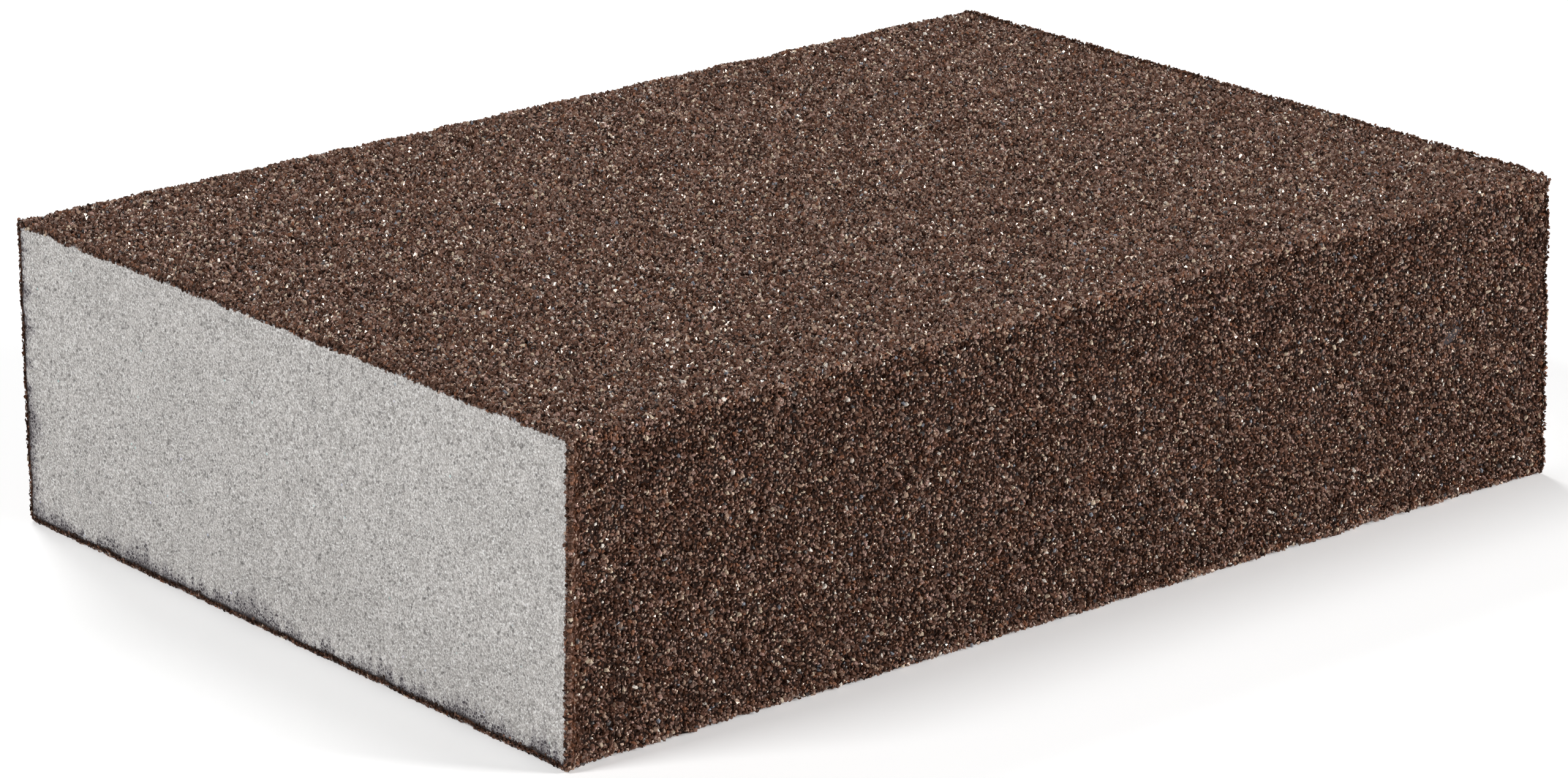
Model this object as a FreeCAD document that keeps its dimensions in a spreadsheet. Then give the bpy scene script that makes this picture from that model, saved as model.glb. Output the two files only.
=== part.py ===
import FreeCAD, Part
import math
import os
import Sketcher

# A hand sanding block: a foam bar whose two large faces and two long edges each carry
# a make coat, a layer of abrasive grit and a size coat. Both short ends are bare foam.
#
# Frame: millimetres, +X along the block, +Y across it, +Z up.
# The origin is at the centre of the face that the block rests on.

SHEET = "Sizes"
PARTS_FOLDER = "parts"

# Driving dimensions, in millimetres. Every other size is worked out from these.
DIMENSIONS = {
    "block_length": 100.0,
    "block_width": 70.0,
    "block_thickness": 25.0,
    "core_corner_radius": 0.3,
    "make_coat_thickness": 0.15,
    "grit_thickness": 0.30,
    "size_coat_thickness": 0.05,
}

# The layers of one coated side, from the foam outwards.
LAYERS = ["make_coat", "grit", "size_coat"]

# The coated sides. Every coat is drawn as if it lay on top of the block, and is then turned
# about the block's long axis to its own side. "across" is the block's size along the coat's
# width, and "through" is its size square to the coat.
SIDES = [
    {"name": "top", "turn": 0, "across": "block_width", "through": "block_thickness"},
    {"name": "back", "turn": -90, "across": "block_thickness", "through": "block_width"},
    {"name": "bottom", "turn": 180, "across": "block_width", "through": "block_thickness"},
    {"name": "front", "turn": 90, "across": "block_thickness", "through": "block_width"},
]

LONG_AXIS = FreeCAD.Vector(1, 0, 0)

# Sketcher's numbers for the points of an edge, the sketch's origin and its upright axis.
START = 1
END = 2
CENTRE = 3
ORIGIN = (-1, 1)
UPRIGHT_AXIS = -2

# Neighbouring coats meet in the middle of each rounded edge.
MITRE = math.radians(45)
RIGHT_ANGLE = math.radians(90)

# How far a solid's volume may be from its section times its length, as a share.
VOLUME_TOLERANCE = 1e-6


def cell(alias):
    """The expression that reads one cell of the sheet."""
    return f"{SHEET}.{alias}"


def corner_radius(layers):
    """The expression for the radius of a long edge, outside these layers of its coat."""
    aliases = ["core_corner_radius"] + [f"{layer}_thickness" for layer in layers]
    return " + ".join(cell(alias) for alias in aliases)


def corner_centre(size_alias):
    """The expression for the distance from the block's middle to its rounded edges' centres."""
    return f"{cell(size_alias)} / 2 - ({corner_radius(LAYERS)})"


def make_sheet(doc):
    """The sheet of driving dimensions: names in column A, plain numbers in column B."""
    sheet = doc.addObject("Spreadsheet::Sheet", SHEET)
    for row, (alias, value) in enumerate(DIMENSIONS.items(), start=1):
        sheet.set(f"A{row}", alias)
        sheet.set(f"B{row}", str(value))
        sheet.setAlias(f"B{row}", alias)
    doc.recompute()
    return sheet


def new_section(body, name):
    """An empty sketch of the block's cross-section, on the body's own YZ plane."""
    planes = [item for item in body.Origin.OriginFeatures if item.Role == "YZ_Plane"]
    sketch = body.newObject("Sketcher::SketchObject", name)
    sketch.AttachmentSupport = (planes[0], [""])
    sketch.MapMode = "FlatFace"
    return sketch


def add_line(sketch, start, end):
    """A straight edge between two (across, up) points."""
    return sketch.addGeometry(
        Part.LineSegment(FreeCAD.Vector(*start, 0), FreeCAD.Vector(*end, 0)), False
    )


def add_arc(sketch, centre, radius, start_angle, end_angle):
    """An arc about an (across, up) point, counter-clockwise, with angles in radians."""
    circle = Part.Circle(FreeCAD.Vector(*centre, 0), FreeCAD.Vector(0, 0, 1), radius)
    return sketch.addGeometry(Part.ArcOfCircle(circle, start_angle, end_angle), False)


def join(sketch, kind, first, second):
    """Joins two edges' ends, as Coincident or as Tangent. Each end is (edge, point)."""
    sketch.addConstraint(Sketcher.Constraint(kind, *first, *second))


def drive(sketch, name, constraint, expression):
    """Adds a named dimension and binds it to an expression of the sheet's cells."""
    index = sketch.addConstraint(constraint)
    sketch.renameConstraint(index, name)
    sketch.setExpression(f"Constraints.{name}", expression)


def place_corner(sketch, arc, across, up):
    """Dimensions the centre of the upper right rounded edge from the block's middle.

    across and up are the aliases of the block's sizes in those two directions."""
    drive(
        sketch,
        "corner_across",
        Sketcher.Constraint("DistanceX", *ORIGIN, arc, CENTRE, DIMENSIONS[across] / 2),
        corner_centre(across),
    )
    drive(
        sketch,
        "corner_up",
        Sketcher.Constraint("DistanceY", *ORIGIN, arc, CENTRE, DIMENSIONS[up] / 2),
        corner_centre(up),
    )


def draw_core_section(sketch):
    """The foam bar's section: a rectangle with four rounded corners."""
    radius = DIMENSIONS["core_corner_radius"]
    across = DIMENSIONS["block_width"] / 2
    up = DIMENSIONS["block_thickness"] / 2
    # Counter-clockwise from the upper right corner.
    corners = [(across, up), (-across, up), (-across, -up), (across, -up)]
    arcs = [
        add_arc(sketch, corner, radius, number * RIGHT_ANGLE, (number + 1) * RIGHT_ANGLE)
        for number, corner in enumerate(corners)
    ]
    lines = []
    for number, corner in enumerate(corners):
        following = corners[(number + 1) % len(corners)]
        outwards = (number + 1) * RIGHT_ANGLE
        offset = (radius * math.cos(outwards), radius * math.sin(outwards))
        start = (corner[0] + offset[0], corner[1] + offset[1])
        end = (following[0] + offset[0], following[1] + offset[1])
        lines.append(add_line(sketch, start, end))
    for number, (arc, line) in enumerate(zip(arcs, lines)):
        following = arcs[(number + 1) % len(arcs)]
        join(sketch, "Tangent", (arc, END), (line, START))
        join(sketch, "Tangent", (line, END), (following, START))
    for number, line in enumerate(lines):
        level = "Vertical" if number % 2 else "Horizontal"
        sketch.addConstraint(Sketcher.Constraint(level, line))
    for arc in arcs[1:]:
        sketch.addConstraint(Sketcher.Constraint("Equal", arcs[0], arc))
    sketch.addConstraint(
        Sketcher.Constraint("Symmetric", arcs[0], CENTRE, arcs[2], CENTRE, *ORIGIN)
    )
    drive(
        sketch,
        "corner_radius",
        Sketcher.Constraint("Radius", arcs[0], radius),
        corner_radius([]),
    )
    place_corner(sketch, arcs[0], "block_width", "block_thickness")


def draw_coat_section(sketch, side, layers_below, layer):
    """One layer's section: a flat strip whose two ends run half-way round the edges."""
    inner = DIMENSIONS["core_corner_radius"]
    inner += sum(DIMENSIONS[f"{below}_thickness"] for below in layers_below)
    outer = inner + DIMENSIONS[f"{layer}_thickness"]
    across = DIMENSIONS[side["across"]] / 2
    up = DIMENSIONS[side["through"]] / 2

    outer_arcs = []
    inner_arcs = []
    mitres = []
    # The right-hand end first, then the left-hand one.
    for sign, first_angle in ((1, MITRE), (-1, RIGHT_ANGLE)):
        centre = (sign * across, up)
        last_angle = first_angle + MITRE
        outer_arcs.append(add_arc(sketch, centre, outer, first_angle, last_angle))
        inner_arcs.append(add_arc(sketch, centre, inner, first_angle, last_angle))
        slope = (sign * math.cos(MITRE), math.sin(MITRE))
        mitre_start = (centre[0] + inner * slope[0], up + inner * slope[1])
        mitre_end = (centre[0] + outer * slope[0], up + outer * slope[1])
        mitres.append(add_line(sketch, mitre_start, mitre_end))
    outer_face = add_line(sketch, (across, up + outer), (-across, up + outer))
    inner_face = add_line(sketch, (across, up + inner), (-across, up + inner))

    for face, arcs in ((outer_face, outer_arcs), (inner_face, inner_arcs)):
        right, left = arcs
        join(sketch, "Tangent", (right, END), (face, START))
        join(sketch, "Tangent", (face, END), (left, START))
        sketch.addConstraint(Sketcher.Constraint("Equal", right, left))
    for number, free_end in enumerate((START, END)):
        mitre = mitres[number]
        join(sketch, "Coincident", (inner_arcs[number], CENTRE), (outer_arcs[number], CENTRE))
        join(sketch, "Coincident", (mitre, START), (inner_arcs[number], free_end))
        join(sketch, "Coincident", (mitre, END), (outer_arcs[number], free_end))
        sketch.addConstraint(
            Sketcher.Constraint("PointOnObject", inner_arcs[number], CENTRE, mitre)
        )
    right, left = inner_arcs
    sketch.addConstraint(
        Sketcher.Constraint("Symmetric", right, CENTRE, left, CENTRE, UPRIGHT_AXIS)
    )
    sketch.addConstraint(Sketcher.Constraint("Angle", mitres[0], MITRE))
    sketch.addConstraint(Sketcher.Constraint("Perpendicular", mitres[0], mitres[1]))
    drive(
        sketch,
        "inner_radius",
        Sketcher.Constraint("Radius", inner_arcs[0], inner),
        corner_radius(layers_below),
    )
    drive(
        sketch,
        "outer_radius",
        Sketcher.Constraint("Radius", outer_arcs[0], outer),
        corner_radius(layers_below + [layer]),
    )
    place_corner(sketch, outer_arcs[0], side["across"], side["through"])


def new_body(doc, name, turn):
    """A body whose section is drawn about the block's middle, turned to its side."""
    body = doc.addObject("PartDesign::Body", name)
    body.Label = name
    middle = FreeCAD.Vector(0, 0, DIMENSIONS["block_thickness"] / 2)
    body.Placement = FreeCAD.Placement(middle, FreeCAD.Rotation(LONG_AXIS, turn))
    body.setExpression("Placement.Base.z", f"{cell('block_thickness')} / 2")
    return body


def pad_along_block(body, sketch, name):
    """Pads a section both ways from the middle, to the block's whole length."""
    pad = body.newObject("PartDesign::Pad", name)
    pad.Profile = sketch
    pad.SideType = "Symmetric"
    pad.setExpression("Length", cell("block_length"))
    sketch.Visibility = False
    return pad


def make_foam_core(doc):
    """The foam bar inside the coats."""
    body = new_body(doc, "foam_core", 0)
    sketch = new_section(body, "foam_core_section")
    draw_core_section(sketch)
    pad_along_block(body, sketch, "foam_core_bar")
    return body


def make_coat(doc, side, layers_below, layer):
    """One layer of one coated side."""
    name = f"{layer}_{side['name']}"
    body = new_body(doc, name, side["turn"])
    sketch = new_section(body, f"{name}_section")
    draw_coat_section(sketch, side, layers_below, layer)
    pad_along_block(body, sketch, f"{name}_strip")
    return body


def check_document(doc):
    """Stops the script if any object failed to compute, or a sketch is left loose."""
    for item in doc.Objects:
        broken = {"Invalid", "Error"} & set(item.State)
        if broken:
            raise RuntimeError(f"{item.Label} is {', '.join(sorted(broken))}")
        if item.isDerivedFrom("Sketcher::SketchObject") and not item.FullyConstrained:
            raise RuntimeError(f"{item.Label} isn't fully constrained")


def check_body(body):
    """Stops the script unless the body is one valid solid with its section's volume."""
    shape = body.Shape
    if shape.isNull() or not shape.isValid() or len(shape.Solids) != 1:
        raise RuntimeError(f"{body.Label} isn't one valid solid")
    sketch = next(item for item in body.Group if item.isDerivedFrom("Sketcher::SketchObject"))
    section = Part.Face(Part.Wire(Part.sortEdges(sketch.Shape.Edges)[0]))
    expected = section.Area * DIMENSIONS["block_length"]
    if abs(shape.Volume - expected) > VOLUME_TOLERANCE * expected:
        raise RuntimeError(f"{body.Label} has volume {shape.Volume}, not {expected}")


def main():
    doc = FreeCAD.newDocument("sanding_block")
    make_sheet(doc)
    bodies = [make_foam_core(doc)]
    for side in SIDES:
        for number, layer in enumerate(LAYERS):
            bodies.append(make_coat(doc, side, LAYERS[:number], layer))
    doc.recompute()
    check_document(doc)
    for body in bodies:
        check_body(body)
    os.makedirs(PARTS_FOLDER, exist_ok=True)
    for body in bodies:
        body.Shape.exportStep(f"{PARTS_FOLDER}/{body.Label}.step")
        print(f"{body.Label}: {body.Shape.Volume:.2f} mm3")


main()
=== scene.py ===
import math

import bmesh
import bpy
import numpy as np
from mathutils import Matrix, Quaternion, Vector


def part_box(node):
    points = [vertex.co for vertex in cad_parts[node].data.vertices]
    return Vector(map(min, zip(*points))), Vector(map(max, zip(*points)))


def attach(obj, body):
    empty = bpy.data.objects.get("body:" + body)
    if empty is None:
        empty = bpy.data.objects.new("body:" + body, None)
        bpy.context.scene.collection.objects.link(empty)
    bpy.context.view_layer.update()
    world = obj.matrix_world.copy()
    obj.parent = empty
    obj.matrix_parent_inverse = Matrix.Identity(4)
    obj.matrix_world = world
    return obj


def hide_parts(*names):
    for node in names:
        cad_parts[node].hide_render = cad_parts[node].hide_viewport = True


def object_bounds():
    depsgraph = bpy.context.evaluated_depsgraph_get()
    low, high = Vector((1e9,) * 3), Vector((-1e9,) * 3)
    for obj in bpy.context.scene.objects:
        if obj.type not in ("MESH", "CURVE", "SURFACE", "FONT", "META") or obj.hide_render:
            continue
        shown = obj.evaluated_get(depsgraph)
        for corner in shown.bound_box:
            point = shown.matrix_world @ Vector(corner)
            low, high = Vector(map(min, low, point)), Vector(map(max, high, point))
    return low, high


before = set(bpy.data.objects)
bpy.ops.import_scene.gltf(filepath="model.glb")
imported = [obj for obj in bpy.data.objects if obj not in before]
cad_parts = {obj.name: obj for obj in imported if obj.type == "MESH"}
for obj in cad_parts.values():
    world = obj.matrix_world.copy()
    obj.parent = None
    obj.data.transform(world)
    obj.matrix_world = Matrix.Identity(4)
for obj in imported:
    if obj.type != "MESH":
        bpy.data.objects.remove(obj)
cad_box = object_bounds()

# A foam sanding block around its CAD frame, in metres, with the CAD's axes:
# +X along the block, +Y across it, +Z up, and the floor at z = 0.
# The foam is one mesh with open cells on its two cut ends. Each coated side is a make
# coat, a size coat that fills up between the grains, and thousands of separate grains.

MM = 0.001
BODY = "root"
# How far each coated side is turned from the top one, about the block's long axis.
SIDES = {"top": 0, "back": -90, "bottom": 180, "front": 90}
MITRE = math.radians(45)
# How far each corner of the block is off a true one, in mm. Soft foam is never cut square.
# The corner that isn't listed is true.
CORNER_DRIFTS = {
    (-1, -1, 1): (0.0, -0.5, 0.4),
    (-1, 1, 1): (0.0, 0.1, 0.4),
    (-1, -1, -1): (-0.5, -0.15, 0.0),
    (-1, 1, -1): (0.3, 0.6, 0.0),
    (1, -1, 1): (-0.5, 0.0, 0.2),
    (1, 1, 1): (-0.8, 0.3, 0.2),
    (1, -1, -1): (-0.6, -0.6, 0.0),
}

# ---------------------------------------------------------------- sizes from the CAD

core_low, core_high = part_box("foam_core")
make_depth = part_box("make_coat_top")[1].z - core_high.z
coat_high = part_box("size_coat_top")[1]
coat_depth = coat_high.z - core_high.z
half_length = (core_high.x - core_low.x) / 2
half_width = (cad_box[1].y - cad_box[0].y) / 2
half_thickness = (cad_box[1].z - cad_box[0].z) / 2
# The coats meet in a mitre half-way round each long edge, so how much narrower than the
# block the top one is gives the edge's radius.
edge_radius = (half_width - coat_high.y) / (1 - math.cos(MITRE))
core_radius = edge_radius - coat_depth

# ---------------------------------------------------------------- the block's surface

# How square the long edges are inside their round: 0 is a true round, and 1 is square.
EDGE_SQUARENESS = 0.85
# The foam's own long sides are a little lumpy, and the coats follow them.
LUMP_LENGTH, LUMP_HEIGHT = 3.4 * MM, 0.05 * MM
# All unevenness is a sum of this many waves, with lengths between these shares of the
# length that is asked for.
WAVE_COUNT, WAVE_LENGTHS = 28, (0.6, 1.7)

# ---------------------------------------------------------------- small helpers


def turned(y, z, degrees):
    """Points of the cross-section, turned about the block's middle."""
    angle = math.radians(degrees)
    return (
        y * math.cos(angle) - z * math.sin(angle),
        y * math.sin(angle) + z * math.cos(angle),
    )


def waves(points, length, height, seed):
    """Smooth seeded unevenness that runs on over every edge, as the height at each point."""
    rng = np.random.default_rng(seed)
    total = np.zeros(len(points))
    for _ in range(WAVE_COUNT):
        direction = rng.normal(size=3)
        direction /= np.linalg.norm(direction)
        own_length = length * rng.uniform(*WAVE_LENGTHS)
        phase = rng.uniform(0, 2 * math.pi)
        total += np.sin(points @ direction * (2 * math.pi / own_length) + phase)
    return height * total / math.sqrt(WAVE_COUNT / 2)


def drifted(points):
    """The points of a true block, moved along with the corners that they are near."""
    half_size = np.array([half_length, half_width, half_thickness])
    place = (points - (0, 0, half_thickness)) / half_size
    moved = points.copy()
    for corner, drift in CORNER_DRIFTS.items():
        weight = np.prod(np.clip(1 + place * corner, 0, 2) / 2, axis=1)
        moved += weight[:, None] * np.array(drift) * MM
    return moved


def smooth_step(value, low, high):
    """0 below low, 1 above high, and an S-shaped rise between them."""
    share = np.clip((value - low) / (high - low), 0, 1)
    return share * share * (3 - 2 * share)


def mesh_object(name, vertices, faces, smooth, face_materials=None):
    """A mesh of faces that all have the same number of corners."""
    corners = faces.shape[1]
    mesh = bpy.data.meshes.new(name)
    mesh.vertices.add(len(vertices))
    mesh.vertices.foreach_set("co", np.asarray(vertices, np.float32).ravel())
    mesh.loops.add(faces.size)
    mesh.loops.foreach_set("vertex_index", np.asarray(faces, np.int32).ravel())
    mesh.polygons.add(len(faces))
    mesh.polygons.foreach_set("loop_start", np.arange(0, faces.size, corners, dtype=np.int32))
    if face_materials is not None:
        mesh.polygons.foreach_set("material_index", np.asarray(face_materials, np.int32))
    mesh.polygons.foreach_set("use_smooth", np.full(len(faces), smooth))
    mesh.update(calc_edges=True)
    item = bpy.data.objects.new(name, mesh)
    bpy.context.scene.collection.objects.link(item)
    return item


def grid_faces(rows, columns, first=0):
    """The quads of a grid of points that are numbered row by row."""
    number = np.arange(rows * columns).reshape(rows, columns) + first
    return np.stack(
        [
            number[:-1, :-1].ravel(),
            number[1:, :-1].ravel(),
            number[1:, 1:].ravel(),
            number[:-1, 1:].ravel(),
        ],
        axis=1,
    )


def grid_rim(rows, columns):
    """The numbers of a grid's outermost points, once round in the quads' direction."""
    number = np.arange(rows * columns).reshape(rows, columns)
    return np.concatenate(
        [number[:, 0], number[-1, 1:], number[-2::-1, -1], number[0, -2:0:-1]]
    )


def even_steps(low, high, pitch):
    """Values from low to high that are about a pitch apart."""
    return np.linspace(low, high, max(2, round((high - low) / pitch) + 1))


# ---------------------------------------------------------------- materials


class Tree:
    """A material's nodes. Inputs that are sockets are linked, and other values are set."""

    def __init__(self, name):
        self.material = bpy.data.materials.new(name)
        self.material.use_nodes = True
        self.nodes = self.material.node_tree.nodes
        self.links = self.material.node_tree.links
        self.shader = self.nodes["Principled BSDF"]

    def give(self, node, inputs):
        for key, value in inputs.items():
            if isinstance(value, bpy.types.NodeSocket):
                self.links.new(value, node.inputs[key])
            else:
                node.inputs[key].default_value = value

    def add(self, kind, inputs, output=0, **settings):
        node = self.nodes.new("ShaderNode" + kind)
        for key, value in settings.items():
            setattr(node, key, value)
        self.give(node, inputs)
        return node.outputs[output]

    def position(self):
        return self.add("TexCoord", {}, "Object")

    def noise(self, vector, size, detail=2.0, roughness=0.5):
        """Noise whose blobs are about size metres across."""
        inputs = {"Vector": vector, "Scale": 1 / size, "Detail": detail, "Roughness": roughness}
        return self.add("TexNoise", inputs, "Fac")

    def ramp(self, value, stops):
        """A colour ramp through (position, colour) stops."""
        node = self.nodes.new("ShaderNodeValToRGB")
        elements = node.color_ramp.elements
        while len(elements) < len(stops):
            elements.new(1.0)
        for element, (place, colour) in zip(elements, stops):
            element.position = place
            element.color = (*colour, 1.0)
        self.links.new(value, node.inputs["Fac"])
        return node.outputs["Color"]

    def spread(self, value, low, high, low_out=0.0, high_out=1.0):
        """Maps a value from one range to another, and keeps it there."""
        inputs = {
            "Value": value,
            "From Min": low,
            "From Max": high,
            "To Min": low_out,
            "To Max": high_out,
        }
        return self.add("MapRange", inputs, "Result", clamp=True)

    def maths(self, operation, *values):
        return self.add("Math", dict(enumerate(values)), operation=operation)

    def mix(self, share, first, second):
        """The first colour where the share is 0, and the second where it is 1."""
        node = self.nodes.new("ShaderNodeMix")
        node.data_type = "RGBA"
        names = {item.identifier: item for item in node.inputs}
        for key, value in (("Factor_Float", share), ("A_Color", first), ("B_Color", second)):
            if isinstance(value, bpy.types.NodeSocket):
                self.links.new(value, names[key])
            elif key == "Factor_Float":
                names[key].default_value = value
            else:
                names[key].default_value = (*value, 1.0)
        return next(item for item in node.outputs if item.identifier == "Result_Color")

    def bump(self, height, distance, strength):
        inputs = {"Height": height, "Distance": distance, "Strength": strength}
        return self.add("Bump", inputs)

    def bent(self, place, size, reach):
        """The place, pushed about by smooth noise."""
        inputs = {"Vector": place, "Scale": 1 / size, "Detail": 1.0}
        colour = self.add("TexNoise", inputs, "Color")
        push = self.add("VectorMath", {0: colour, 1: (0.5, 0.5, 0.5)}, operation="SUBTRACT")
        push = self.add("VectorMath", {0: push, "Scale": 2 * reach}, operation="SCALE")
        return self.add("VectorMath", {0: place, 1: push}, operation="ADD")

    def ribs(self, place, size, width):
        """1 along the walls between cells about size metres across, and 0 inside them."""
        inputs = {"Vector": place, "Scale": 1 / size}
        far = self.add("TexVoronoi", inputs, "Distance", feature="DISTANCE_TO_EDGE")
        return self.spread(far, 0.0, width, 1.0, 0.0)

    def cells(self, place, size):
        """One chance value for each cell about size metres across."""
        middle = self.add("TexVoronoi", {"Vector": place, "Scale": 1 / size}, "Position")
        return self.add("TexWhiteNoise", {"Vector": middle}, "Value", noise_dimensions="3D")

    def dots(self, place, size, radius):
        """(1 on a dot in the middle of each cell, each cell's own chance value)."""
        far = self.add("TexVoronoi", {"Vector": place, "Scale": 1 / size}, "Distance")
        return self.spread(far, 0.5 * radius, radius, 1.0, 0.0), self.cells(place, size)

    def surface(self, **inputs):
        """Sets the Principled shader's sockets, with _ for the spaces in their names."""
        self.give(self.shader, {key.replace("_", " "): value for key, value in inputs.items()})
        return self.material


# Cut foam: the sizes of its cells, flecks, mottles, painted glints, tinted painted glints and
# painted shade in open holes, and the size and reach of the noise that bends its ribs.
CELL = 0.27 * MM
FLECK = 0.17 * MM
MOTTLE, BROAD_MOTTLE = 0.7 * MM, 3.0 * MM
PAINTED_GLINT_SIZE, TINTED_GLINT_SIZE, HOLE_SHADE_SIZE = 0.24 * MM, 1.3 * MM, 0.4 * MM
RIB_BEND = (0.2 * MM, 0.11 * MM)
# Each bump is (depth, strength).
FOAM_BUMP = (0.05 * MM, 0.7)
# The shades that it runs through, and its other colours, among them the painted shade in its
# hollows and holes and its painted glints.
FOAM_SHADES = [(0.3, (0.28, 0.264, 0.25)), (0.5, (0.50, 0.472, 0.454)), (0.7, (0.75, 0.715, 0.69))]
FOAM_MOTTLE = (0.312, 0.295, 0.28)
FOAM_HOLLOW_SHADE = (0.17, 0.160, 0.152)
FOAM_RIB = (0.90, 0.88, 0.86)
FOAM_PAINTED_GLINT = (0.96, 0.95, 0.94)
FOAM_HOLE_SHADE = (0.12, 0.113, 0.108)
PAINTED_GLINT_TINTS = [(0.85, (0.50, 0.80, 0.77)), (0.95, (0.72, 0.66, 0.92))]
# Foam with resin in it, from the first haze to cells that are full.
STAIN_HAZE = (0.13, 0.11, 0.135)
STAIN_WET = (0.028, 0.020, 0.028)
STAIN_FULL = (0.020, 0.013, 0.015)


def foam_material():
    """Cut foam: a fine mesh of pale cell ribs round hollows greyed by painted shade, with painted
    glints, and dark where resin soaked in.
    """
    tree = Tree("foam")
    place = tree.position()
    pore = tree.add("Attribute", {}, "Fac", attribute_name="pore")
    stain = tree.add("Attribute", {}, "Fac", attribute_name="stain")
    bent = tree.bent(place, *RIB_BEND)
    fleck = tree.noise(place, FLECK, 3.0, 0.65)
    mottle = tree.maths("MULTIPLY", tree.noise(place, MOTTLE, 1.0), 0.5)
    mottle = tree.maths("MULTIPLY_ADD", tree.noise(place, BROAD_MOTTLE, 2.0), 0.5, mottle)
    colour = tree.ramp(fleck, FOAM_SHADES)
    colour = tree.mix(tree.spread(mottle, 0.36, 0.64, 0.0, 0.65), colour, FOAM_MOTTLE)
    # Each cell is a hollow of its own depth, inside ribs that break up into curly strokes. The
    # deeper a hollow, the darker its painted shade.
    ribs = tree.ribs(bent, CELL, 0.22)
    inside = tree.maths("SUBTRACT", 1.0, ribs)
    hollow = tree.maths("MULTIPLY", tree.cells(bent, CELL), inside)
    colour = tree.mix(tree.spread(hollow, 0.3, 1.0, 0.0, 0.75), colour, FOAM_HOLLOW_SHADE)
    strokes = tree.maths("MULTIPLY", ribs, tree.spread(fleck, 0.42, 0.58))
    colour = tree.mix(tree.maths("MULTIPLY", strokes, 0.95), colour, FOAM_RIB)
    # Here and there a painted glint stands for a bubble's wall catching the light, and once in a
    # while the painted glint is tinted.
    painted_glint, own = tree.dots(place, PAINTED_GLINT_SIZE, 0.36)
    painted_glint = tree.maths("MULTIPLY", painted_glint, tree.spread(own, 0.8, 0.9))
    colour = tree.mix(painted_glint, colour, FOAM_PAINTED_GLINT)
    tinted_glint, own = tree.dots(place, TINTED_GLINT_SIZE, 0.1)
    tinted_glint = tree.maths("MULTIPLY", tinted_glint, tree.spread(own, 0.55, 0.75, 0.0, 0.7))
    colour = tree.mix(tinted_glint, colour, tree.ramp(own, PAINTED_GLINT_TINTS))
    # Open holes, and the real pores, are darkened with painted shade.
    hole_shade, own = tree.dots(bent, HOLE_SHADE_SIZE, 0.42)
    hole_shade = tree.maths("MULTIPLY", hole_shade, tree.spread(own, 0.4, 1.0, 0.0, 0.8))
    colour = tree.mix(tree.maths("MAXIMUM", hole_shade, pore), colour, FOAM_HOLE_SHADE)
    # Soaked foam: a grey haze, then dark cells with their ribs still pale, then all dark.
    haze = tree.maths("MULTIPLY", stain, tree.spread(mottle, 0.4, 0.6, 0.25, 0.6))
    colour = tree.mix(haze, colour, STAIN_HAZE)
    wet = tree.maths("MULTIPLY", tree.cells(bent, CELL), -1.0)
    wet = tree.spread(tree.maths("MULTIPLY_ADD", stain, 1.45, wet), 0.2, 0.4)
    wet = tree.maths("MULTIPLY", wet, tree.spread(ribs, 0.0, 1.0, 0.95, 0.15))
    colour = tree.mix(wet, colour, STAIN_WET)
    colour = tree.mix(tree.spread(stain, 0.84, 0.98), colour, STAIN_FULL)
    height = tree.maths("SUBTRACT", tree.maths("ADD", strokes, fleck), hollow)
    return tree.surface(
        Base_Color=colour,
        Roughness=tree.spread(fleck, 0.3, 0.7, 0.85, 0.45),
        Normal=tree.bump(height, *FOAM_BUMP),
        Specular_IOR_Level=0.35,
    )


# The make coat's resin: the size of its patches and wrinkles, its bump and its shades.
MAKE_PATCH, MAKE_WRINKLE = 0.5 * MM, 0.15 * MM
MAKE_BUMP = (0.06 * MM, 0.6)
MAKE_RESIN_SHADES = [(0.35, (0.03, 0.012, 0.006)), (0.7, (0.13, 0.052, 0.026))]
# The size coat's resin: the size of its dust, its bump and its shades, whose near-black is partly
# painted shade between the grains.
DUST = 0.12 * MM
DUST_BUMP = (0.12 * MM, 0.8)
SIZE_RESIN_AND_GAP_SHADE = [
    (0.35, (0.005, 0.002, 0.001)),
    (0.6, (0.018, 0.007, 0.004)),
    (0.75, (0.07, 0.03, 0.018)),
]
SIZE_RESIN_RUST = (0.105, 0.043, 0.023)
# The size coat and the grains are rustier close to a cut end: from this far away on, and
# in full at these distances from it.
RUSTY_REACH = 1.1 * MM
RESIN_RUSTY_FULL, GRAINS_RUSTY_FULL = 0.3 * MM, 0.2 * MM


def make_resin_material():
    """Brown resin in soft patches."""
    tree = Tree("make_resin")
    place = tree.position()
    patch = tree.noise(place, MAKE_PATCH, 3.0)
    colour = tree.ramp(patch, MAKE_RESIN_SHADES)
    return tree.surface(
        Base_Color=colour,
        Roughness=tree.spread(patch, 0.3, 0.7, 0.6, 0.35),
        Normal=tree.bump(tree.noise(place, MAKE_WRINKLE, 3.0), *MAKE_BUMP),
    )


def size_resin_material():
    """Dark resin deep between the grains, rough with the finest dust, and darkened further by
    painted shade in the gaps between them.
    """
    tree = Tree("size_resin")
    place = tree.position()
    dust = tree.noise(place, DUST, 3.0, 0.6)
    colour = tree.ramp(dust, SIZE_RESIN_AND_GAP_SHADE)
    along = tree.maths("ABSOLUTE", tree.add("SeparateXYZ", {"Vector": place}, "X"))
    start, full = half_length - RUSTY_REACH, half_length - RESIN_RUSTY_FULL
    near_cut = tree.spread(along, start, full, 0.0, 0.8)
    colour = tree.mix(near_cut, colour, SIZE_RESIN_RUST)
    return tree.surface(
        Base_Color=colour,
        Roughness=tree.spread(dust, 0.3, 0.7, 0.8, 0.45),
        Normal=tree.bump(dust, *DUST_BUMP),
        Specular_IOR_Level=0.08,
    )


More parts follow.
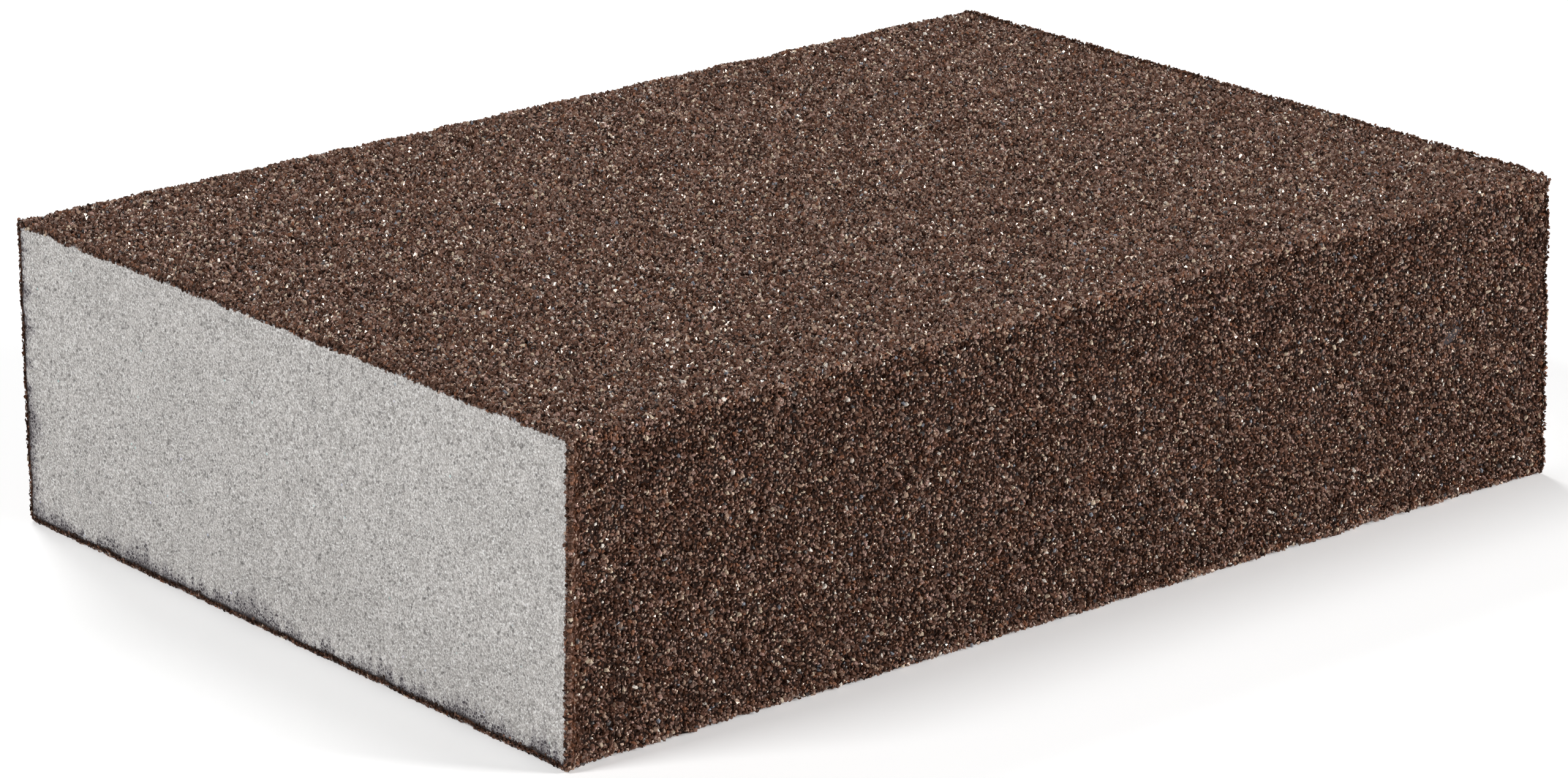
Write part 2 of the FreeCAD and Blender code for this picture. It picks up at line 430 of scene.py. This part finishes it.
# Each kind of grain: its colour, roughness and specular level, and its shares of the
# grains over a side, near a cut end, in a cut edge, and in a cut edge that is soaked with
# resin. Nearly all are tinted by the red-brown resin over them, and a few catch the light.
GRAINS = {
    "grain_black": ((0.019, 0.007, 0.004), 0.42, 0.14, (6, 2, 14, 74)),
    "grain_umber": ((0.056, 0.023, 0.013), 0.40, 0.22, (13.5, 8, 28, 20)),
    "grain_brown": ((0.100, 0.046, 0.030), 0.36, 0.32, (24, 20, 27, 4)),
    "grain_chestnut": ((0.158, 0.078, 0.054), 0.34, 0.4, (17, 24, 9, 1)),
    "grain_rust": ((0.195, 0.083, 0.046), 0.36, 0.35, (4, 18, 8, 1)),
    "grain_taupe": ((0.222, 0.142, 0.113), 0.30, 0.5, (8.5, 6, 3, 0)),
    "grain_tan": ((0.370, 0.248, 0.182), 0.28, 0.5, (4.3, 6, 2, 0)),
    "grain_rose": ((0.340, 0.208, 0.172), 0.28, 0.5, (3.2, 2, 1, 0)),
    "grain_glossy": ((0.080, 0.038, 0.026), 0.20, 1.2, (9, 6, 6, 0)),
    "grain_glint": ((0.230, 0.133, 0.092), 0.26, 1.8, (7, 4, 2, 0)),
    "grain_smoke": ((0.085, 0.080, 0.082), 0.18, 0.8, (1.2, 0.8, 0.5, 0)),
    "grain_blue_grey": ((0.190, 0.205, 0.240), 0.18, 0.8, (0.5, 0.3, 0.1, 0)),
    "grain_cream": ((0.560, 0.450, 0.335), 0.22, 0.8, (2.0, 1.5, 0.7, 0)),
    "grain_clear": ((0.700, 0.640, 0.570), 0.18, 1.0, (0.9, 0.6, 0.4, 0)),
}
OVER_SIDE, NEAR_CUT, CUT_EDGE, SOAKED_EDGE = np.array([kind[3] for kind in GRAINS.values()]).T
# The resin over the grains warms what they reflect.
GRAIN_TINT = (1.0, 0.87, 0.75, 1.0)


def grain_materials():
    """One plain material for each kind of grain: the colour varies from grain to grain."""
    made = []
    for name, (colour, roughness, specular, *_) in GRAINS.items():
        tree = Tree(name)
        made.append(
            tree.surface(
                Base_Color=(*colour, 1.0),
                Roughness=roughness,
                Specular_IOR_Level=specular,
                Specular_Tint=GRAIN_TINT,
            )
        )
    return made


# ---------------------------------------------------------------- the coats' curved sheet

# How far the resin's strips stop short of the cut ends.
RESIN_INSET = 0.06 * MM

# The make coat: how far apart its points are along the block and across it, and how deep
# it soaks into the foam, with the length and height of the unevenness and its limits.
MAKE_PITCH_X, MAKE_PITCH_U = 0.9 * MM, 0.2 * MM
SOAK_DEPTH, SOAK_LENGTH, SOAK_HEIGHT = 0.06 * MM, 0.9 * MM, 0.05 * MM
SOAK_LEAST, SOAK_MOST = 0.01 * MM, 0.2 * MM

# The size coat, which is the bed between the grains: how far apart its points are over a
# side, and in the few closer rows next to a cut end.
BED_PITCH = 0.4 * MM
BED_END_PITCH, BED_END_ROWS = 0.12 * MM, 3
# How much of the coats' depth it fills over a side and at a cut end, and between which
# distances from a cut end it rises.
BED_SHARE, BED_CUT_SHARE = 0.36, 0.62
BED_RISE_NEAR, BED_RISE_REACH = 0.05 * MM, 0.6 * MM
RIPPLE_LENGTH, RIPPLE_HEIGHT = 0.9 * MM, 0.02 * MM
# It always covers the make coat, by this share of the make coat's depth.
BED_COVER = 0.1


class Side:
    """One coated side as a sheet: x runs along the block and u across it, from the middle.
    Past the flat part, u runs half-way round the block's rounded edges."""

    def __init__(self, name):
        self.name = name
        self.turn = SIDES[name]
        across, up = half_width, half_thickness
        if name in ("front", "back"):
            across, up = up, across
        self.flat = across - edge_radius
        self.rise = up - edge_radius
        # u is measured half-way up the coats.
        self.bend_radius = core_radius + coat_depth / 2
        self.reach = self.flat + self.bend_radius * MITRE

    def place(self, x, u, height):
        """(points, outward normals) at a height above the even foam."""
        angle = np.sign(u) * np.maximum(np.abs(u) - self.flat, 0) / self.bend_radius
        out = (core_radius + height) * (1 + EDGE_SQUARENESS * (1 / np.cos(angle) - 1))
        y = np.clip(u, -self.flat, self.flat) + out * np.sin(angle)
        z = self.rise + out * np.cos(angle)
        y, z = turned(y, z, self.turn)
        normal_y, normal_z = turned(np.sin(angle), np.cos(angle), self.turn)
        points = np.stack([x, y, z + half_thickness], axis=1)
        normals = np.stack([np.zeros_like(x), normal_y, normal_z], axis=1)
        return points, normals

    def strip(self, name, x_rows, u_rows, inner, outer):
        """A closed strip over this side. inner and outer are functions of points on the
        even foam, and give the heights of the strip's two faces above it."""
        x, u = (part.ravel() for part in np.meshgrid(x_rows, u_rows, indexing="ij"))
        foot, _ = self.place(x, u, np.zeros_like(x))
        top, _ = self.place(x, u, outer(foot))
        bottom, _ = self.place(x, u, inner(foot))
        rows, columns = len(x_rows), len(u_rows)
        below = rows * columns
        upper = grid_faces(rows, columns)
        lower = upper[:, ::-1] + below
        rim = grid_rim(rows, columns)
        following = np.roll(rim, -1)
        walls = np.stack([following, rim, rim + below, following + below], axis=1)
        vertices = np.concatenate([top, bottom])
        return mesh_object(name, vertices, np.concatenate([upper, lower, walls]), True)


def lumps(points):
    """How far the foam's own surface stands above or below its even shape."""
    return waves(points, LUMP_LENGTH, LUMP_HEIGHT, seed=11)


def bed_height(points):
    """The size coat's height, which ripples but never thins out."""
    ripple = waves(points, RIPPLE_LENGTH, RIPPLE_HEIGHT, seed=12)
    from_cut = half_length - np.abs(points[:, 0])
    rise = 1 - smooth_step(from_cut, BED_RISE_NEAR, BED_RISE_REACH)
    share = BED_SHARE + (BED_CUT_SHARE - BED_SHARE) * rise
    return lumps(points) + np.maximum(share * coat_depth + ripple, (1 + BED_COVER) * make_depth)


def make_height(points):
    """The make coat's height, where the size coat starts."""
    return lumps(points) + make_depth


def make_coat(side, material):
    """The resin under the grains, which soaks unevenly into the foam."""
    end = half_length - RESIN_INSET
    x_rows = even_steps(-end, end, MAKE_PITCH_X)
    u_rows = even_steps(-side.reach, side.reach, MAKE_PITCH_U)

    def soaked(points):
        depth = SOAK_DEPTH + waves(points, SOAK_LENGTH, SOAK_HEIGHT, seed=21)
        return lumps(points) - np.clip(depth, SOAK_LEAST, SOAK_MOST)

    piece = side.strip(f"make_resin_{side.name}", x_rows, u_rows, soaked, make_height)
    finish_piece(piece, [material], f"make_coat_{side.name}")


def size_coat(side, material):
    """The resin that fills up between the grains and is seen between them."""
    end = half_length - RESIN_INSET
    close = end - np.arange(1, BED_END_ROWS + 1) * BED_END_PITCH
    even = even_steps(BED_RISE_REACH - end, end - BED_RISE_REACH, BED_PITCH)
    x_rows = np.sort(np.concatenate([[-end, end], close, -close, even]))
    u_rows = even_steps(-side.reach, side.reach, BED_PITCH)
    piece = side.strip(f"size_resin_{side.name}", x_rows, u_rows, make_height, bed_height)
    finish_piece(piece, [material], f"size_coat_{side.name}")


def finish_piece(piece, materials, node):
    """Moves a piece's points along with the block's corners, gives it its materials, hangs it on
    the body and hides the CAD part that it stands for.
    """
    vertices = piece.data.vertices
    places = np.empty(len(vertices) * 3, np.float32)
    vertices.foreach_get("co", places)
    places = drifted(places.reshape(-1, 3)).astype(np.float32)
    vertices.foreach_set("co", places.ravel())
    piece.data.update()
    for material in materials:
        piece.data.materials.append(material)
    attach(piece, BODY)
    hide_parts(node)


# ---------------------------------------------------------------- grains

# Crystal shapes by name: (how many, corners of the foot, tips, seed).
CRYSTALS = {"blunt": (40, 5, 3, 61), "small": (40, 4, 2, 62), "pointed": (30, 4, 1, 63)}
# A crystal's foot and tips are rings of corners: (radii, heights) for each.
FOOT_RING = ((0.85, 1.15), (-0.1, 0.25))
TIP_RING = ((0.3, 0.72), (0.65, 1.0))
# How far a corner may be turned on round its ring, as a share of the step between corners.
CORNER_TURN = 0.55

# Each grade's name, share, crystals, foot radii in mm, how far its tips are below the
# coats' full depth in mm, and whether it is worn smooth.
GRADES = [
    ("coarse", 0.165, "blunt", (0.17, 0.25), (0.0, 0.12), False),
    ("medium", 0.255, "small", (0.155, 0.225), (0.02, 0.18), False),
    ("fine", 0.255, "small", (0.145, 0.22), (0.06, 0.22), True),
    ("finest", 0.325, "pointed", (0.145, 0.22), (0.04, 0.2), True),
]
# How far apart the grains are, where in its own place each one stands, and how deep their
# feet are in the size coat.
GRAIN_PITCH = 0.27 * MM
GRAIN_PLACE = (0.1, 0.9)
GRAIN_SINK = 0.04 * MM
# How long and how wide a foot is against its radius, and how far a grain leans.
GRAIN_LENGTHS, GRAIN_WIDTHS = (0.85, 1.3), (0.75, 1.0)
GRAIN_LEAN = 0.3
# Round the long edges the grains are broader, by this share.
EDGE_BROADER = 0.15
# There up to this share of them is as rusty as at a cut end, from this far onto the flat.
EDGE_RUSTY_SHARE, EDGE_RUSTY_REACH = 0.45, 1.0 * MM
# Patches where resin lies thick: two unevennesses as (length, height), the heights of
# their sum between which a patch thickens, and how much of a grain it drowns.
FLOOD, FLOOD_DETAIL = (6 * MM, 1.0), (1.8 * MM, 0.5)
FLOOD_LOW, FLOOD_HIGH = 1.4, 2.6
DROWNED_SHARE = 0.5

# The cut edges: how far apart their grains are, the rows of grains by their height in the
# coats, and how far inside the cut end they stand.
CUT_PITCH = 0.22 * MM
CUT_ROWS = (0.0, 0.3, 0.6, 0.9)
CUT_INSETS = (0.03, 0.14)
# How far off its row's height a grain is, and how far it stays below the surface.
CUT_OFFSETS = (-0.13, 0.02)
CUT_TOP_GAP = 0.1 * MM
# Foot radii and heights in mm, and how far the grains lean, in radians.
CUT_RADII, CUT_TALLS = (0.14, 0.26), (0.12, 0.3)
CUT_LEAN = 0.35
# How far a grain at the surface is turned from the cut end to the side, in radians.
CUT_TURN, SOAKED_TURN = 1.1, 0.5
# The sides whose resin soaked furthest into the foam, how much of its height a cut grain
# keeps there, and the share of the coats' depth up to which all of them are dark.
SOAKED_SIDES = ("back", "bottom")
SOAKED_TALL = 0.4
SOAKED_DARK_UP_TO = 0.35


def crystal_shapes(count, foot_corners, tips, seed):
    """Broken crystals: convex solids with a foot of radius one at z = 0 and tips near
    z = 1, as (corners, triangles)."""
    rng = np.random.default_rng(seed)
    shapes = []
    while len(shapes) < count:
        rings = []
        for corners, (radii, heights) in ((foot_corners, FOOT_RING), (tips, TIP_RING)):
            turn = rng.uniform(0, CORNER_TURN, corners)
            angle = (np.arange(corners) + turn) * (2 * math.pi / corners)
            angle += rng.uniform(0, 2 * math.pi)
            radius = rng.uniform(*radii, corners)
            height = rng.uniform(*heights, corners)
            ring = [radius * np.cos(angle), radius * np.sin(angle), height]
            rings.append(np.stack(ring, axis=1))
        solid = bmesh.new()
        made = [solid.verts.new(corner) for corner in np.concatenate(rings)]
        bmesh.ops.convex_hull(solid, input=made)
        loose = [corner for corner in solid.verts if not corner.link_faces]
        bmesh.ops.delete(solid, geom=loose, context="VERTS")
        bmesh.ops.triangulate(solid, faces=solid.faces)
        bmesh.ops.recalc_face_normals(solid, faces=solid.faces)
        solid.verts.index_update()
        if len(solid.verts) == foot_corners + tips:
            own_corners = np.array([corner.co for corner in solid.verts])
            own_faces = [[corner.index for corner in face.verts] for face in solid.faces]
            shapes.append((own_corners, np.array(own_faces)))
        solid.free()
    return shapes


def pick(rng, shares, count):
    """A material number for each of so many grains."""
    return np.searchsorted(np.cumsum(shares) / shares.sum(), rng.uniform(size=count))


def crystals(name, rng, shapes, stand, sizes, colours, smooth):
    """A piece of separate crystals. stand holds each one's foot, the way up and a way
    across that is square to it, and sizes each one's foot radius and height."""
    feet, ups, across = stand
    radius, tall = sizes
    count = len(feet)
    spin = rng.uniform(0, 2 * math.pi, count)[:, None]
    other = np.cross(ups, across)
    first_axis = np.cos(spin) * across + np.sin(spin) * other
    second_axis = np.cross(ups, first_axis)
    lean = rng.uniform(-GRAIN_LEAN, GRAIN_LEAN, size=(2, count, 1))
    frames = np.stack(
        [
            first_axis * (radius * rng.uniform(*GRAIN_LENGTHS, count))[:, None],
            second_axis * (radius * rng.uniform(*GRAIN_WIDTHS, count))[:, None],
            (ups + lean[0] * first_axis + lean[1] * second_axis) * tall[:, None],
        ],
        axis=1,
    )
    shape_number = rng.integers(len(shapes), size=count)

    vertices, faces, face_materials = [], [], []
    first = 0
    for number, (corners, triangles) in enumerate(shapes):
        chosen = np.flatnonzero(shape_number == number)
        placed = np.einsum("kj,njx->nkx", corners, frames[chosen]) + feet[chosen][:, None, :]
        offsets = first + np.arange(len(chosen)) * len(corners)
        vertices.append(placed.reshape(-1, 3))
        faces.append((triangles[None] + offsets[:, None, None]).reshape(-1, 3))
        face_materials.append(np.repeat(colours[chosen], len(triangles)))
        first += len(chosen) * len(corners)
    vertices = np.concatenate(vertices)
    # The block stands on its lowest grains, so they are flat where they meet the floor.
    vertices[:, 2] = np.maximum(vertices[:, 2], 0)
    faces, face_materials = np.concatenate(faces), np.concatenate(face_materials)
    return mesh_object(name, vertices, faces, smooth, face_materials)


def scattered(side, rng):
    """Places for the grains all over a side, as (x, u): one in each place of a staggered
    grid, and more round the long edges."""
    x_count = round(2 * half_length / GRAIN_PITCH)
    u_count = round(2 * side.reach / GRAIN_PITCH)
    x, u = np.meshgrid(np.arange(x_count), np.arange(u_count), indexing="ij")
    # Every second row is half a place further on, so all rows start a quarter back.
    u = u + 0.5 * (x % 2) - 0.25
    x = (x.ravel() + rng.uniform(*GRAIN_PLACE, x.size)) / x_count
    u = (u.ravel() + rng.uniform(*GRAIN_PLACE, u.size)) / u_count
    x = (2 * x - 1) * half_length
    u = np.clip((2 * u - 1) * side.reach, -side.reach, side.reach)
    # The sheet is stretched round the long edges, so as many grains again go there.
    edge_area = 2 * (2 * half_length) * (side.reach - side.flat)
    edge_count = round(edge_area / GRAIN_PITCH**2)
    edge_sign = rng.choice((-1, 1), edge_count)
    edge_u = edge_sign * rng.uniform(side.flat, side.reach, edge_count)
    edge_x = rng.uniform(-half_length, half_length, edge_count)
    return np.concatenate([x, edge_x]), np.concatenate([u, edge_u])


def grit(side, shapes, materials, seed):
    """The grains all over a side, as one piece for each grade."""
    rng = np.random.default_rng(seed)
    x, u = scattered(side, rng)
    even, normals = side.place(x, u, np.zeros_like(x))
    bed = bed_height(even)
    top = coat_depth + lumps(even)
    # Where resin lies thick, the grains are partly drowned.
    flooded = waves(even, *FLOOD, seed=31) + waves(even, *FLOOD_DETAIL, seed=32)
    drowned = DROWNED_SHARE * smooth_step(flooded, FLOOD_LOW, FLOOD_HIGH)
    broader = 1 + EDGE_BROADER * smooth_step(np.abs(u), side.flat, side.reach)
    edge_start = side.flat - EDGE_RUSTY_REACH
    edge_rusty = EDGE_RUSTY_SHARE * smooth_step(np.abs(u), edge_start, side.flat)
    cut_rusty = 1 - smooth_step(half_length - np.abs(x), GRAINS_RUSTY_FULL, RUSTY_REACH)
    rusty = np.maximum(cut_rusty, edge_rusty)
    across = np.tile((1.0, 0.0, 0.0), (len(x), 1))
    chance = rng.uniform(size=len(x))
    taken = 0.0
    for grade, share, kind, radii, depths, smooth in GRADES:
        own = np.flatnonzero((chance >= taken) & (chance < taken + share))
        taken += share
        radius = rng.uniform(*radii, len(own)) * MM * broader[own]
        crest = np.minimum(top[own] - rng.uniform(*depths, len(own)) * MM, coat_depth)
        tall = (crest - bed[own]) * (1 - drowned[own]) + GRAIN_SINK
        feet = even[own] + (bed[own] - GRAIN_SINK)[:, None] * normals[own]
        colours = np.where(
            rng.uniform(size=len(own)) < rusty[own],
            pick(rng, NEAR_CUT, len(own)),
            pick(rng, OVER_SIDE, len(own)),
        )
        name = f"grains_{side.name}_{grade}"
        stand = (feet, normals[own], across[own])
        piece = crystals(name, rng, shapes[kind], stand, (radius, tall), colours, smooth)
        finish_piece(piece, materials, f"grit_{side.name}")


def cut_edge_grit(side, shapes, materials, seed):
    """The grains that show in a side's two cut edges, from the foam up to the surface."""
    rng = np.random.default_rng(seed)
    soaked = side.name in SOAKED_SIDES
    count = round(2 * side.reach / CUT_PITCH)
    x, u, share = [], [], []
    for end in (-1, 1):
        for row in CUT_ROWS:
            x.append(end * (half_length - rng.uniform(*CUT_INSETS, count) * MM))
            along = (np.arange(count) + rng.uniform(0, 1, count)) / count
            u.append((2 * along - 1) * side.reach)
            share.append(np.full(count, row))
    x, u, share = np.concatenate(x), np.concatenate(u), np.concatenate(share)
    even, normals = side.place(x, u, np.zeros_like(x))
    lump = lumps(even)
    height = coat_depth * share + rng.uniform(*CUT_OFFSETS, len(x)) * MM
    height = np.minimum(height, coat_depth - lump - CUT_TOP_GAP)
    feet = even + (height + lump)[:, None] * normals
    # The grains turn from the cut end to the side, row by row.
    turn = SOAKED_TURN if soaked else CUT_TURN
    tilt = rng.uniform(-CUT_LEAN, CUT_LEAN, len(x)) + turn * share
    outward = np.sign(x)[:, None] * np.array([[1.0, 0.0, 0.0]])
    ups = np.cos(tilt)[:, None] * outward + np.sin(tilt)[:, None] * normals
    across = np.cos(tilt)[:, None] * normals - np.sin(tilt)[:, None] * outward
    radius = rng.uniform(*CUT_RADII, len(x)) * MM
    tall = rng.uniform(*CUT_TALLS, len(x)) * MM
    colours = pick(rng, CUT_EDGE, len(x))
    if soaked:
        tall *= SOAKED_TALL
        dark = rng.uniform(size=len(x)) > share - SOAKED_DARK_UP_TO
        colours = np.where(dark, pick(rng, SOAKED_EDGE, len(x)), colours)
    name = f"grains_{side.name}_cut"
    stand = (feet, ups, across)
    piece = crystals(name, rng, shapes["small"], stand, (radius, tall), colours, True)
    finish_piece(piece, materials, f"grit_{side.name}")


# ---------------------------------------------------------------- foam

# How far apart the points of a cut face are.
FOAM_PITCH = 0.185 * MM
# Open pores: how far apart cells are, where in its own square each one's middle is, the
# share of cells that are open, the widest radius and the rim in pitches, and the depth.
PORE_PITCH = 0.5 * MM
PORE_PLACE = (0.08, 0.92)
PORE_SHARE = 0.04
PORE_RADIUS, PORE_RIM = 0.3, 0.12
PORE_DEPTH = 0.1 * MM
# The cut face's own unevenness as (length, height), which dies out at the rim.
CUT_SWELL = (2.5 * MM, 0.025 * MM)
CUT_ROUGHNESS = (0.45 * MM, 0.012 * MM)
EVEN_RIM = 0.4 * MM
# How far resin soaks in from the back, from the bottom and from the other two sides. It
# soaks in by the usual share of that, with unevenness as (length, share) and with limits.
BACK_STAIN, BOTTOM_STAIN, OTHER_STAIN = 1.5 * MM, 1.8 * MM, 0.03 * MM
STAIN_USUAL = 0.75
STAIN_SWELL, STAIN_SPIKES = (2.8 * MM, 0.35), (0.6 * MM, 0.25)
STAIN_LEAST, STAIN_MOST = 0.15, 1.7
# How far from the rim the long sides' lumps die out on the cut face.
LUMP_FADE = 1.5 * MM
TINY = 1e-9


def nearest_cells(y, z, pitch, seed):
    """For each point of the cut face: (how far the nearest cell's middle is, in pitches,
    and that cell's own chance value). One cell's middle lies in each square of a grid."""
    rng = np.random.default_rng(seed)
    # The grid goes on for a few squares past the block.
    margin = 2
    columns = math.ceil(2 * half_width / pitch) + 2 * margin
    rows = math.ceil(2 * half_thickness / pitch) + 2 * margin
    offset_y = rng.uniform(*PORE_PLACE, size=(columns, rows))
    offset_z = rng.uniform(*PORE_PLACE, size=(columns, rows))
    chance = rng.uniform(size=(columns, rows))
    place_y = (y + half_width) / pitch + margin
    place_z = (z + half_thickness) / pitch + margin
    column, row = np.floor(place_y).astype(int), np.floor(place_z).astype(int)
    nearest = np.full(len(y), np.inf)
    own = np.zeros(len(y))
    for step_y in (-1, 0, 1):
        for step_z in (-1, 0, 1):
            at = (np.clip(column + step_y, 0, columns - 1), np.clip(row + step_z, 0, rows - 1))
            middle_y = column + step_y + offset_y[at]
            middle_z = row + step_z + offset_z[at]
            far = np.hypot(middle_y - place_y, middle_z - place_z)
            closer = far < nearest
            own = np.where(closer, chance[at], own)
            nearest = np.where(closer, far, nearest)
    return nearest, own


def spiky(points, seed):
    """How far resin is drawn in at each point along an edge, as a share of the reach."""
    slow = waves(points, *STAIN_SWELL, seed)
    quick = waves(points, *STAIN_SPIKES, seed + 10)
    return np.clip(STAIN_USUAL + slow + quick, STAIN_LEAST, STAIN_MOST)


def cut_face(end, seed):
    """One cut end of the foam as a grid: (points, pore, stain, rows, columns)."""
    half_y = core_high.y
    half_z = half_thickness - (cad_box[1].z - core_high.z)
    y_rows = even_steps(-half_y, half_y, FOAM_PITCH)
    z_rows = even_steps(-half_z, half_z, FOAM_PITCH)
    y, z = (part.ravel() for part in np.meshgrid(y_rows, z_rows, indexing="ij"))
    # The four corners of the section are a little round, so points past the round are
    # pulled in.
    past_y = np.maximum(np.abs(y) - (half_y - core_radius), 0)
    past_z = np.maximum(np.abs(z) - (half_z - core_radius), 0)
    # Where nothing is past the round, far only has to stay above zero.
    far = np.maximum(np.hypot(past_y, past_z), TINY)
    pull = (1 - EDGE_SQUARENESS) * (1 - np.maximum(past_y, past_z) / far)
    y -= np.sign(y) * past_y * pull
    z -= np.sign(z) * past_z * pull

    place = np.stack([np.full_like(y, end * half_length), y, z + half_thickness], axis=1)
    inside_y, inside_z = half_y - np.abs(y), half_z - np.abs(z)
    inside = np.minimum(inside_y, inside_z)
    nearest, own = nearest_cells(y, z, PORE_PITCH, seed)
    pore = smooth_step(PORE_RADIUS * own - nearest, 0.0, PORE_RIM) * (own > 1 - PORE_SHARE)
    depth = PORE_DEPTH * pore + waves(place, *CUT_SWELL, seed + 2)
    depth += waves(place, *CUT_ROUGHNESS, seed + 3)
    depth *= smooth_step(inside, 0, EVEN_RIM)

    # Resin soaks in furthest from the back and the bottom, as their cut edges show.
    reach_y = np.where(y > 0, BACK_STAIN, OTHER_STAIN)
    reach_z = np.where(z < 0, BOTTOM_STAIN, OTHER_STAIN)
    along_y, along_z = place * (0, 1, 0), place * (0, 0, 1)
    reach_y *= spiky(along_z, seed + 4)
    reach_z *= spiky(along_y, seed + 5)
    stain = np.maximum(1 - inside_y / reach_y, 1 - inside_z / reach_z)
    stain = np.clip(stain, 0, 1)

    # The rim follows the foam's lumpy long sides.
    lump = lumps(place)
    y += np.sign(y) * lump * (1 - smooth_step(inside_y, 0, LUMP_FADE))
    z += np.sign(z) * lump * (1 - smooth_step(inside_z, 0, LUMP_FADE))
    points = np.stack([end * (half_length - depth), y, z + half_thickness], axis=1)
    return points, pore, stain, len(y_rows), len(z_rows)


def foam_core(material):
    """The foam bar: two cut faces with open cells, joined by its four long sides."""
    right, right_pore, right_stain, rows, columns = cut_face(1, seed=41)
    left, left_pore, left_stain, _, _ = cut_face(-1, seed=51)
    count = rows * columns
    right_faces = grid_faces(rows, columns)
    left_faces = grid_faces(rows, columns, count)[:, ::-1]
    rim = grid_rim(rows, columns)
    following = np.roll(rim, -1)
    walls = np.stack([following, rim, rim + count, following + count], axis=1)
    faces = np.concatenate([right_faces, left_faces, walls])
    piece = mesh_object("foam_bar", np.concatenate([right, left]), faces, True)
    for name, values in (("pore", (right_pore, left_pore)), ("stain", (right_stain, left_stain))):
        attribute = piece.data.attributes.new(name, "FLOAT", "POINT")
        attribute.data.foreach_set("value", np.concatenate(values).astype(np.float32))
    finish_piece(piece, [material], "foam_core")


# ---------------------------------------------------------------- studio

# The camera looks at its target from this way round, this far up and this far away. The
# lens and the sensor are in mm.
CAMERA_AZIMUTH = math.radians(-39.86)
CAMERA_ELEVATION = math.radians(18.23)
CAMERA_ROLL = math.radians(-0.34)
CAMERA_DISTANCE = 475 * MM
CAMERA_LENS, CAMERA_SENSOR = 136.8, 36.0
CAMERA_NEAR, CAMERA_FAR = 10 * MM, 50.0
CAMERA_TARGET = Vector((-1.35, -0.3, 9.5)) * MM

# The floor's half-width, its colour, and how faintly it glows.
FLOOR_REACH = 6.0
FLOOR_WHITE = (0.93, 0.93, 0.93, 1.0)
FLOOR_ROUGHNESS, FLOOR_GLOW = 0.6, 0.25

WORLD_STRENGTH = 0.1
# Each light's place, the length of its sides and its power in watts.
LIGHTS = {
    "key": ((-0.95, 0.2, 0.9), 0.4, 10.4),
    "back": ((0.3, 0.95, 1.0), 0.35, 7.2),
    "fill": ((0.85, -1.0, 0.45), 0.4, 20.5),
}


def make_camera():
    """The camera of the main view, which the scene renders from."""
    data = bpy.data.cameras.new("camera")
    data.lens = CAMERA_LENS
    data.sensor_width = CAMERA_SENSOR
    data.clip_start = CAMERA_NEAR
    data.clip_end = CAMERA_FAR
    camera = bpy.data.objects.new("camera", data)
    back = Vector(
        (
            math.sin(CAMERA_AZIMUTH) * math.cos(CAMERA_ELEVATION),
            -math.cos(CAMERA_AZIMUTH) * math.cos(CAMERA_ELEVATION),
            math.sin(CAMERA_ELEVATION),
        )
    )
    camera.location = CAMERA_TARGET + back * CAMERA_DISTANCE
    camera.rotation_mode = "QUATERNION"
    aim = (-back).to_track_quat("-Z", "Y")
    camera.rotation_quaternion = aim @ Quaternion((0, 0, 1), CAMERA_ROLL)
    bpy.context.scene.collection.objects.link(camera)
    bpy.context.scene.camera = camera


def make_floor():
    """A wide white floor at z = 0, which glows faintly so that it stays white."""
    material = Tree("floor").surface(
        Base_Color=FLOOR_WHITE,
        Roughness=FLOOR_ROUGHNESS,
        Emission_Color=FLOOR_WHITE,
        Emission_Strength=FLOOR_GLOW,
    )
    corners = np.array([(-1, -1, 0), (1, -1, 0), (1, 1, 0), (-1, 1, 0)]) * FLOOR_REACH
    floor = mesh_object("floor", corners, np.array([[0, 1, 2, 3]]), False)
    floor.data.materials.append(material)


def area_light(name, place, size, power):
    """A soft square light that faces the block's middle and that no camera sees."""
    data = bpy.data.lights.new(name, "AREA")
    data.shape = "SQUARE"
    data.size = size
    data.energy = power
    light = bpy.data.objects.new(name, data)
    light.location = place
    light.rotation_mode = "QUATERNION"
    to_block = Vector((0, 0, half_thickness)) - Vector(place)
    light.rotation_quaternion = to_block.to_track_quat("-Z", "Y")
    light.visible_camera = False
    bpy.context.scene.collection.objects.link(light)


def make_lights():
    """A dim even sky and three soft lights."""
    world = bpy.data.worlds.new("studio")
    world.use_nodes = True
    background = world.node_tree.nodes["Background"]
    background.inputs["Color"].default_value = (1.0, 1.0, 1.0, 1.0)
    background.inputs["Strength"].default_value = WORLD_STRENGTH
    bpy.context.scene.world = world
    for name, (place, size, power) in LIGHTS.items():
        area_light(name, place, size, power)
    bpy.context.scene.view_settings.view_transform = "Standard"


# ---------------------------------------------------------------- the whole scene


def main():
    foam_core(foam_material())
    make_resin = make_resin_material()
    size_resin = size_resin_material()
    materials = grain_materials()
    shapes = {name: crystal_shapes(*settings) for name, settings in CRYSTALS.items()}
    for number, name in enumerate(SIDES):
        side = Side(name)
        make_coat(side, make_resin)
        size_coat(side, size_resin)
        grit(side, shapes, materials, 71 + number)
        cut_edge_grit(side, shapes, materials, 101 + number)
    make_camera()
    make_floor()
    make_lights()


main()
